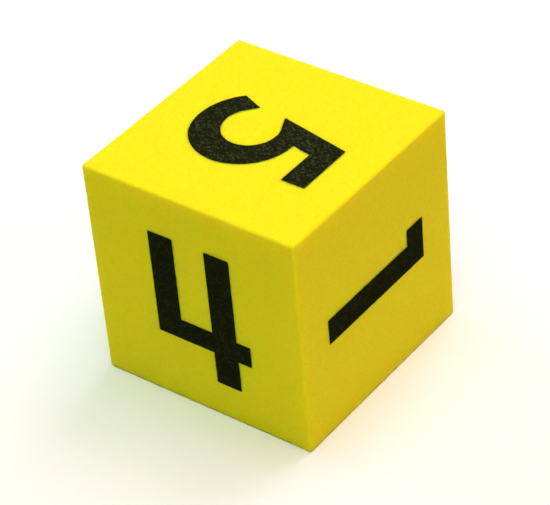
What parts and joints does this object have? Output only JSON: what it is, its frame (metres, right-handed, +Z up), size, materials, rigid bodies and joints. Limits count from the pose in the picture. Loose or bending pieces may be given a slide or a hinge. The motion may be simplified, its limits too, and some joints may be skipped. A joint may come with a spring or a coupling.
{
  "type": "foam number die",
  "caption": "Large soft foam number die, a cut cube of closed-cell foam with a bold printed numeral on each face, for lawn and floor games.",
  "frame": {"origin": "centre of the face that the die stands on, the face of the two", "axes": "+Z up through the face of the five, +X out of the face of the one, -Y out of the face of the four"},
  "size_m": [0.089, 0.089, 0.089],
  "materials": {
    "yellow_foam": "matte cut closed-cell foam with fine open pores",
    "black_ink": "matte black printing ink soaked into the pores of the foam"
  },
  "bodies": {
    "root": {"foam_block": "yellow_foam", "numeral_one": "black_ink", "numeral_two": "black_ink", "numeral_three": "black_ink", "numeral_four": "black_ink", "numeral_five": "black_ink", "numeral_six": "black_ink"}
  },
  "joints": []
}
